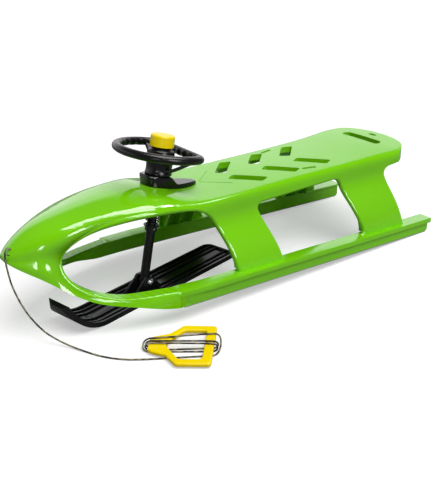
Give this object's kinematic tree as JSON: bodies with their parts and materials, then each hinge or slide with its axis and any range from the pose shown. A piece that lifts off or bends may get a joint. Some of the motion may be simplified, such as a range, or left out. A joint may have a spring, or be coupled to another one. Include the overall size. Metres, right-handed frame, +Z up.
{
  "type": "steering sled",
  "caption": "Moulded children's sled with a hooded nose, legs on two runners, a sprung steering wheel column with a front ski, and a tow cord with handle.",
  "frame": {"origin": "on the floor under the middle of the sled's length, between its runners", "axes": "+X to the nose, +Y to the rider's left, +Z up; the sled stands on its ski and runner heels"},
  "size_m": [1.1424, 0.5805, 0.385],
  "materials": {
    "green_plastic": "gloss moulded",
    "black_plastic": "satin moulded",
    "yellow_plastic": "satin moulded",
    "black_steel": "black coated",
    "bare_steel": "zinc plated",
    "bush_plastic": "matt moulded",
    "cord": "braided"
  },
  "bodies": {
    "sled": {"sled_shell": "green_plastic", "runner_left": "green_plastic", "runner_right": "green_plastic", "glide_strip_left": "bare_steel", "glide_strip_right": "bare_steel", "strip_rivets": "bare_steel", "base_cover": "black_plastic", "cover_screws": "bare_steel", "column_bush": "bush_plastic", "suspension_spring": "black_steel", "tow_cord": "cord", "tow_knot": "cord", "tow_handle": "yellow_plastic", "tow_winding": "cord"},
    "strut": {"thrust_washer": "bare_steel"},
    "steering": {"steering_column": "black_steel", "column_collar": "black_steel", "collar_pin": "bare_steel", "column_top_plug": "bush_plastic", "column_foot_plug": "bush_plastic", "steering_wheel": "black_plastic", "hub_washer": "bare_steel", "hub_screw": "bare_steel", "horn_spring": "bare_steel"},
    "front_ski": {"ski": "black_plastic", "ski_washers": "bare_steel", "ski_bolt": "bare_steel", "ski_nut": "bare_steel"},
    "horn": {"horn_button": "yellow_plastic"}
  },
  "joints": [
    {"name": "suspension", "type": "slide", "parent": "sled", "child": "strut", "axis": [-0.2285, 0, 0.9735], "range_m": [0, 0.014], "stiffness_N_per_m": 4000, "springref_m": -0.012, "deforming": ["suspension_spring"]},
    {"name": "steering", "type": "hinge", "parent": "strut", "child": "steering", "pos_m": [0.1756, 0, 0.27339], "axis": [-0.2285, 0, 0.9735], "range_deg": [-38, 12]},
    {"name": "ski_pitch", "type": "hinge", "parent": "steering", "child": "front_ski", "pos_m": [0.23272, 0, 0.03], "axis": [-0.225, 0.9744, 0], "range_deg": [-3, 8]},
    {"name": "horn_press", "type": "slide", "parent": "steering", "child": "horn", "axis": [0.2285, 0, -0.9735], "range_m": [0, 0.006], "stiffness_N_per_m": 300, "springref_m": -0.003, "deforming": ["horn_spring"]}
  ]
}
